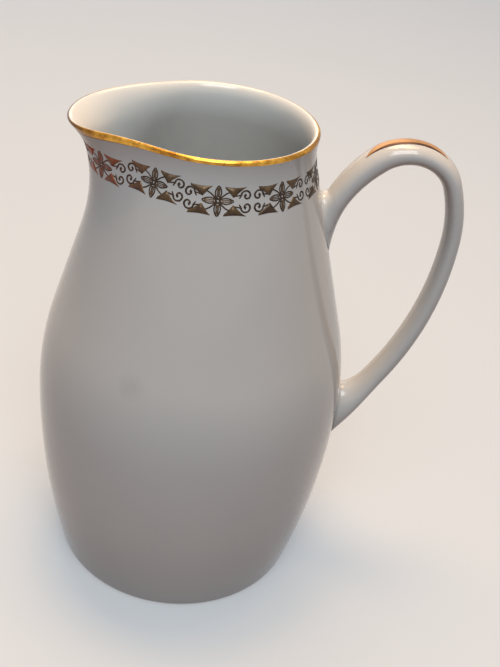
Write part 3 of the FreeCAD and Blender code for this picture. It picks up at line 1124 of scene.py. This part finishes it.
    def make(self, finishes: Sequence[bpy.types.Material]) -> bpy.types.Object:
        """Build the handle with roots that spread over the vessel.

        Args:
            finishes: the glaze.

        Returns:
            The piece.
        """
        maker = MeshMaker("jug_handle")
        turns = [math.tau * step / self.ring_points for step in range(self.ring_points)]
        bars = [self.station(self.length * step / self.bar_rows) for step in range(self.bar_rows + 1)]
        first, last = bars[0], bars[-1]
        upper, lower = self.roots()
        columns: list[list[Vector]] = []
        for around in turns:
            high = self.root_column(around, first, upper, -first.along)
            low = self.root_column(around, last, lower, last.along)
            columns.append(high[::-1] + [self.skin(bar, around) for bar in bars] + low)
        lines = list(zip(*columns))
        rows = [maker.ring(tuple(point) for point in line) for line in lines]
        for low_row, high_row in zip(rows, rows[1:]):
            maker.bridge(low_row, high_row)
        for line, row in ((lines[0], rows[0]), (lines[-1], rows[-1])):
            maker.fan(tuple(sum(line, Vector()) / len(line)), row)
        return maker.make(finishes)


@dataclass(frozen=True)
class HandleLine:
    """The gilder's line over the handle's crest, thin at both ends, with its burnt front edge."""

    handle: Handle
    start: float = 15.5
    end: float = 39.5
    front: float = -2.3
    edge: float = 1.1
    back: float = 2.9
    point_share: float = 0.25
    blunt: float = 0.05
    relief: float = 0.04
    bury: float = 0.05
    rows: int = 80

    def around(self, station: Station, offset: float) -> float:
        """Angle round the section of a place that far behind the crest's middle."""
        return math.asin(clamp(offset / (station.width / 2), -1.0, 1.0))

    def make(self, finishes: Sequence[bpy.types.Material]) -> bpy.types.Object:
        """Build the line.

        Args:
            finishes: gilding and its burnt edge.

        Returns:
            The piece.
        """
        maker = MeshMaker("handle_line")
        rows: list[list[int]] = []
        for step in range(self.rows + 1):
            share = step / self.rows
            station = self.handle.station(mix(self.start, self.end, share))
            point = clamp(min(share, 1 - share) / self.point_share, self.blunt)
            edge = self.front + self.edge * point
            offsets = [self.front, edge]
            offsets += [mix(edge, self.back, part * point) for part in (0.25, 0.5, 0.75, 1.0)]
            angles = [self.around(station, offset) for offset in offsets]
            top = [self.handle.skin(station, angle, self.relief) for angle in angles]
            under = [self.handle.skin(station, angle, -self.bury) for angle in (angles[-1], angles[0])]
            rows.append(maker.ring(tuple(point) for point in top + under))
        for low, high in zip(rows, rows[1:]):
            count = len(low)
            for here in range(count):
                there = (here + 1) % count
                coat = LineCoat.BURNT if here in (0, count - 1) else LineCoat.GOLD
                maker.face((low[here], low[there], high[there], high[here]), coat)
        for end in (rows[0], rows[-1]):
            maker.face(tuple(end), LineCoat.BURNT)
        return maker.make(finishes)


@dataclass(frozen=True)
class Stroke:
    """One stroke of the ornament.

    It has its line, its half-width at each point and its finish's number. An upright stroke's width is
    always laid straight up the neck, and another one's is laid square to its line.
    """

    line: tuple[Flat, ...]
    halves: tuple[float, ...]
    slot: int = BandCoat.LINE
    upright: bool = False

    def mirrored(self, flip_u: int, flip_v: int) -> "Stroke":
        """The stroke seen in a mirror across either axis."""
        line = tuple((u * flip_u, v * flip_v) for u, v in self.line)
        return Stroke(line, self.halves, self.slot, self.upright)


@dataclass(frozen=True)
class FiligreeBand:
    """Gilt ornament round the neck: lined flowers between four spear leaves and pairs of scrolls.

    The ornament is laid out flat, u round the neck and v up it, and wrapped onto the vessel. The band is
    laid on by hand: its first flowers drift a little from their even places, where its two ends overlap.
    """

    vessel: Vessel
    height: float = 162.7
    first_flower: float = math.radians(21.2)
    repeats: int = 10
    drift: tuple[Flat, ...] = ((3.0, -0.2), (0.7, 1.4), (0.0, 0.0), (0.0, 0.0), (0.3, -0.2))
    relief: float = 0.05
    bury: float = 0.05
    line: float = 0.21
    eye: float = 0.5
    petal_start: float = 0.55
    upright_petal: Flat = (4.5, 2.3)
    upright_ribs: tuple[float, ...] = (-1.0, -0.4, 0.0, 0.4, 1.0)
    level_petal: Flat = (4.75, 2.1)
    level_ribs: tuple[float, ...] = (-1.0, -0.3, 0.3, 1.0)

    def curve(self, corners: Sequence[Flat], steps: int = 5) -> list[Flat]:
        """Smooth line through corners.

        Args:
            corners: the points that the line passes through.
            steps: number of points from one corner to the next.

        Returns:
            The line's points.
        """
        padded = [corners[0], *corners, corners[-1]]
        points = []
        for a, b, c, d in zip(padded, padded[1:], padded[2:], padded[3:]):
            for step in range(steps):
                t = step / steps
                weights = (
                    (-t + 2 * t**2 - t**3) / 2,
                    (2 - 5 * t**2 + 3 * t**3) / 2,
                    (t + 4 * t**2 - 3 * t**3) / 2,
                    (t**3 - t**2) / 2,
                )
                near = tuple(zip(weights, (a, b, c, d)))
                u, v = (sum(weight * corner[axis] for weight, corner in near) for axis in (0, 1))
                points.append((u, v))
        return [*points, corners[-1]]

    def drawn(self, corners: Sequence[Flat], *halves: float) -> Stroke:
        """Stroke through corners.

        Args:
            corners: the points that it passes through.
            halves: half-widths that it goes through evenly, from end to end.

        Returns:
            The stroke.
        """
        line = self.curve(corners)
        widths = []
        for number in range(len(line)):
            share = number / (len(line) - 1) * (len(halves) - 1)
            low = min(int(share), len(halves) - 2)
            widths.append(mix(halves[low], halves[low + 1], share - low))
        return Stroke(tuple(line), tuple(widths))

    def petal(self, size: Flat, ribs: Sequence[float], upright: bool) -> list[Stroke]:
        """Petal drawn by lines that leave the flower's ring together and meet at its tip.

        Args:
            size: the petal's reach from the flower's middle, and its width.
            ribs: each line's share of the half-width; 1 and -1 are its edges.
            upright: whether it stands up, or lies along the band.

        Returns:
            The petal's strokes.
        """
        reach, width = size
        strokes = []
        for rib in ribs:
            inner = abs(rib) < 0.9
            first, last = (0.14, 0.86) if inner else (0.0, 1.0)
            line = []
            for step in range(13):
                share = mix(first, last, step / 12)
                run = mix(self.petal_start, reach, share)
                bulge = math.sin(math.pi * share**0.85) ** 0.75 * (width / 2 - self.line) * rib
                line.append((bulge, run) if upright else (run, bulge))
            half = self.line * (0.75 if inner else 1.0)
            coat = BandCoat.LEAF if inner else BandCoat.LINE
            strokes.append(Stroke(tuple(line), (half,) * len(line), coat))
        return strokes

    def leaf(self, left: bool) -> Stroke:
        """Spear leaf, solid, with a straight back and a point towards the band's middle.

        Args:
            left: whether the leaf stands left of its flower, which puts its blunt end away from it.

        Returns:
            The leaf as one broad stroke along its back.
        """
        near, far, tip, deep, back_height = 1.9, 8.6, 4.7, 0.95, 4.36
        blunt_near, blunt_far = (0.08, 0.4) if left else (0.32, 0.08)
        line, halves = [], []
        for step in range(31):
            share = smooth(step / 30)
            u = mix(near, far, share)
            back = back_height - 0.3 * math.sin(math.pi * share)
            if u < tip:
                rise = ((u - near) / (tip - near)) ** 1.35
                end = blunt_near
            else:
                rise = ((far - u) / (far - tip)) ** 1.5
                end = blunt_far
            depth = mix(end * 2, back - deep, rise)
            edge = clamp(min(u - near, far - u) / end, 0.1)
            depth *= math.sqrt(1 - (1 - edge) ** 2)
            line.append((u, back - depth / 2))
            halves.append(depth / 2)
        return Stroke(tuple(line), tuple(halves), BandCoat.LEAF, upright=True)

    def quarter(self, left: bool) -> list[Stroke]:
        """Strokes of the quarter right of and above a flower's middle.

        Args:
            left: whether the quarter is to be mirrored to the flower's left.

        Returns:
            The leaf, its stalk, two cross strokes and the scroll.
        """
        thin = self.line
        scroll = (
            (6.9, 1.95), (7.3, 2.7), (8.2, 3.15), (9.25, 2.9), (9.8, 2.0), (9.55, 1.15),
            (8.85, 0.8), (8.25, 1.1), (8.15, 1.7), (8.6, 2.0),
        )
        return [
            self.leaf(left),
            self.drawn(((0.45, 0.45), (1.5, 1.45), (2.4, 2.15), (3.7, 2.8)), thin * 1.15, thin),
            self.drawn(((5.2, 1.55), (6.3, 1.75), (7.3, 1.95)), thin, thin),
            self.drawn(((6.45, 0.85), (6.95, 1.8), (7.4, 2.75)), thin * 0.8, thin * 1.3, thin * 0.8),
            self.drawn(scroll, thin, thin * 1.25, thin * 1.5, thin * 1.2, thin * 2.1),
        ]

    def ornament(self) -> list[Stroke]:
        """Strokes of one whole flower with its leaves and scrolls.

        Returns:
            The strokes.
        """
        turns = [math.tau * step / 16 for step in range(17)]
        ring = tuple((self.eye * math.cos(turn), self.eye * math.sin(turn)) for turn in turns)
        strokes = [Stroke(ring, (self.line,) * len(ring))]
        for petal, flips in (
            (self.petal(self.upright_petal, self.upright_ribs, True), (1, -1)),
            (self.petal(self.level_petal, self.level_ribs, False), (-1, 1)),
        ):
            strokes += petal + [stroke.mirrored(*flips) for stroke in petal]
        for flip_u in (1, -1):
            for flip_v in (1, -1):
                strokes += [stroke.mirrored(flip_u, flip_v) for stroke in self.quarter(flip_u < 0)]
        return strokes

    def turns(self) -> tuple[list[float], list[float]]:
        """Lay out the band's way round the neck.

        Returns:
            Angles at even steps, and the length round the neck from the first to each.
        """
        sides = [math.radians(step - 60) for step in range(481)]
        spots = [Vector(self.vessel.outer_point(side, self.height)) for side in sides]
        runs = [0.0]
        for here, there in zip(spots, spots[1:]):
            runs.append(runs[-1] + (there - here).length)
        return sides, runs

    def make(self, finishes: Sequence[bpy.types.Material]) -> bpy.types.Object:
        """Build the band.

        Args:
            finishes: gilding for the lines and for the leaves.

        Returns:
            The piece.
        """
        maker = MeshMaker("filigree_band")
        sides, runs = self.turns()
        strokes = self.ornament()

        def look_up(value: float, known: list[float], wanted: list[float]) -> float:
            """Value in one list at the place where another one has the value given."""
            spot = max(1, min(bisect.bisect_left(known, value), len(known) - 1))
            low, high = known[spot - 1], known[spot]
            return mix(wanted[spot - 1], wanted[spot], (value - low) / (high - low))

        for number in range(self.repeats):
            flower = self.first_flower + math.tau * number / self.repeats
            along, up = self.drift[number] if number < len(self.drift) else (0.0, 0.0)
            middle = look_up(flower, sides, runs) + along
            for stroke in strokes:
                self.wrap(maker, stroke, self.height + up, lambda u: look_up(middle + u, runs, sides))
        return maker.make(finishes)

    def wrap(
        self, maker: MeshMaker, stroke: Stroke, height: float, side_at: Callable[[float], float]
    ) -> None:
        """Lay one stroke on the vessel as a thin closed ribbon.

        Args:
            maker: the piece's collector.
            stroke: the stroke, laid out flat.
            height: height of the flower's middle.
            side_at: gives the angle round the neck for a length from the flower's middle.
        """
        rows = []
        last = len(stroke.line) - 1
        for number, ((u, v), half) in enumerate(zip(stroke.line, stroke.halves)):
            before, after = stroke.line[max(0, number - 1)], stroke.line[min(last, number + 1)]
            run, rise = after[0] - before[0], after[1] - before[1]
            length = math.hypot(run, rise) or 1.0
            wide, high = (0.0, half) if stroke.upright else (-rise / length * half, run / length * half)
            lift = self.vessel.normal(side_at(u), height + v)
            spots = [(side_at(u + wide * way), height + v + high * way) for way in (1, -1)]
            edges = [Vector(self.vessel.outer_point(side, level)) for side, level in spots]
            row = [edges[0] + lift * self.relief, edges[1] + lift * self.relief]
            row += [edges[1] - lift * self.bury, edges[0] - lift * self.bury]
            rows.append(maker.ring(tuple(point) for point in row))
        for low_row, high_row in zip(rows, rows[1:]):
            maker.bridge(low_row, high_row, stroke.slot)
        for end in (rows[0], rows[-1]):
            maker.face(tuple(end), stroke.slot)


@dataclass(frozen=True)
class Lamp:
    """A square lamp that points at the jug, in metres and watts."""

    name: str
    place: Point
    size: float
    power: float
    colour: Point
    aim: Point = (0.0, 0.0, 0.09)

    def hang(self) -> bpy.types.Object:
        """Hang the lamp.

        Returns:
            The lamp.
        """
        light = bpy.data.lights.new(self.name, "AREA")
        light.energy = self.power
        light.size = self.size
        light.color = self.colour
        lamp = bpy.data.objects.new(self.name, light)
        lamp.location = self.place
        way = Vector(self.aim) - Vector(self.place)
        lamp.rotation_euler = way.to_track_quat("-Z", "Y").to_euler()
        bpy.context.scene.collection.objects.link(lamp)
        return lamp


@dataclass(frozen=True)
class Studio:
    """Camera, in millimetres from the vessel's axis, floor and lamps."""

    target_height: float = 87.31
    distance: float = 364.33
    elevation: float = math.radians(34.624)
    azimuth: float = math.radians(-1.108)
    pan: float = math.radians(-3.1067)
    tilt: float = math.radians(1.0037)
    roll: float = math.radians(5.867)
    lens: float = 53.973
    sensor: float = 36.0
    floor_reach: float = 3.0
    room_light: Colour = (0.136, 0.158, 0.189, 1.0)
    backdrop: Colour = linear(222, 221, 220)
    lamps: tuple[Lamp, ...] = (
        Lamp("ceiling_right", (0.1, 0.1, 1.15), 0.4, 5.5, (1.0, 0.62, 0.31)),
        Lamp("ceiling_left", (-0.14, 0.22, 1.15), 0.4, 7.5, (1.0, 0.62, 0.31)),
        Lamp("back_fill", (-0.3, 1.4, 0.9), 1.2, 5.0, (0.95, 0.97, 1.0)),
        Lamp("window", (0.0, -0.95, 1.4), 0.9, 19.0, (0.9, 0.97, 1.0)),
    )

    def camera(self) -> bpy.types.Object:
        """Set up the camera, which looks down on the jug from in front.

        Returns:
            The camera.
        """
        az, el = self.azimuth, self.elevation
        back = Vector((math.sin(az) * math.cos(el), -math.cos(az) * math.cos(el), math.sin(el)))
        centre = back * self.distance + Vector((AXIS_X, 0.0, self.target_height))
        right = Vector((math.cos(az), math.sin(az), 0.0))
        up = back.cross(right)
        ahead = -back * math.cos(self.pan) - right * math.sin(self.pan)
        right = right * math.cos(self.pan) - back * math.sin(self.pan)
        gaze = ahead * math.cos(self.tilt) + up * math.sin(self.tilt)
        up = up * math.cos(self.tilt) - ahead * math.sin(self.tilt)
        rolled_right = right * math.cos(self.roll) + up * math.sin(self.roll)
        rolled_up = up * math.cos(self.roll) - right * math.sin(self.roll)
        lens = bpy.data.cameras.new("camera")
        lens.lens = self.lens
        lens.sensor_width = self.sensor
        lens.clip_start = 0.01
        lens.clip_end = 20.0
        camera = bpy.data.objects.new("camera", lens)
        turn = Matrix((rolled_right, rolled_up, -gaze)).transposed()
        camera.matrix_world = Matrix.Translation(centre * MM) @ turn.to_4x4()
        bpy.context.scene.collection.objects.link(camera)
        bpy.context.scene.camera = camera
        return camera

    def floor(self) -> bpy.types.Object:
        """Lay the floor.

        Returns:
            The floor.
        """
        half = self.floor_reach
        mesh = bpy.data.meshes.new("floor")
        corners = [(-half, -half, 0.0), (half, -half, 0.0), (half, half, 0.0), (-half, half, 0.0)]
        mesh.from_pydata(corners, [], [(0, 1, 2, 3)])
        mesh.materials.append(FloorPaint().material())
        floor = bpy.data.objects.new("floor", mesh)
        bpy.context.scene.collection.objects.link(floor)
        floor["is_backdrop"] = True
        return floor

    def light(self) -> None:
        """Hang the lamps and light the room, whose backdrop is pale where it is seen."""
        for lamp in self.lamps:
            lamp.hang()
        world = bpy.data.worlds.new("room")
        world.use_nodes = True
        desk = NodeDesk(world)
        room = world.node_tree.nodes["Background"]
        desk.link(desk.blend(desk.seen(), self.room_light, self.backdrop), room.inputs["Color"])
        bpy.context.scene.world = world


GLAZE = Glaze()
# The same glaze as outside, made brighter: painted light on the shaded interior.
INNER_GLAZE_PAINTED_LIGHT = Glaze("inner_glaze_painted_light", linear(206, 206, 203), linear(199, 201, 200))
# Dark brown towards the spout's tip: painted reflection of dark surroundings in the gold.
LIP_GOLD = Gilding(
    "lip_gold",
    bright=linear(228, 172, 74),
    worn=linear(156, 100, 36),
    painted_reflection=linear(62, 26, 10),
    painted_reflection_share=0.92,
    painted_reflection_span=(-30.0, -50.0),
)
LINE_GOLD = Gilding(
    "line_gold", bright=linear(198, 146, 86), worn=linear(172, 124, 74), roughness=0.35, metallic=0.5
)
BURNT_GOLD = Gilding(
    "burnt_gold", bright=linear(84, 50, 24), worn=linear(60, 34, 16), roughness=0.4, metallic=0.4
)
# Dark browns: painted dark reflection of the surroundings in the gold; the orange towards the spout is a
# painted reflection of the table.
STROKE_GOLD = Gilding(
    "stroke_gold",
    bright=linear(62, 44, 29),
    worn=linear(38, 25, 17),
    painted_reflection=linear(92, 38, 14),
    painted_reflection_share=0.8,
    roughness=0.4,
    metallic=0.5,
)
# Dark browns: painted dark reflection of the surroundings in the gold; the orange towards the spout is a
# painted reflection of the table.
LEAF_GOLD = Gilding(
    "leaf_gold",
    bright=linear(96, 75, 50),
    worn=linear(54, 38, 26),
    painted_reflection=linear(150, 58, 18),
    painted_reflection_share=0.8,
    roughness=0.4,
    metallic=0.5,
)


def main() -> None:
    """Build the jug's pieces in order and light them."""
    finishes = (GLAZE, INNER_GLAZE_PAINTED_LIGHT, LIP_GOLD, LINE_GOLD, BURNT_GOLD, STROKE_GOLD, LEAF_GOLD)
    glaze, inner_glaze_painted_light, lip_gold, line_gold, burnt_gold, stroke_gold, leaf_gold = (
        finish.material() for finish in finishes
    )
    vessel = Vessel()
    handle = Handle(vessel)
    pieces = [vessel.make([glaze, lip_gold, inner_glaze_painted_light, burnt_gold]), handle.make([glaze])]
    for piece in pieces:
        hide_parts("jug")
    pieces.append(FiligreeBand(vessel).make([stroke_gold, leaf_gold]))
    pieces.append(HandleLine(handle).make([line_gold, burnt_gold]))
    for piece in pieces:
        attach(piece, "root")
        LOG.info("%s: %d faces", piece.name, len(piece.data.polygons))
    studio = Studio()
    studio.camera()
    studio.floor()
    studio.light()
    scene = bpy.context.scene
    scene.view_settings.view_transform = "Standard"
    boxes = {"cad": CAD_BOX, "visual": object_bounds()}
    {name: [list(map(float, corner)) for corner in box] for name, box in boxes.items()}


if __name__ == "__main__":
    logging.basicConfig(level=logging.INFO)
    main()
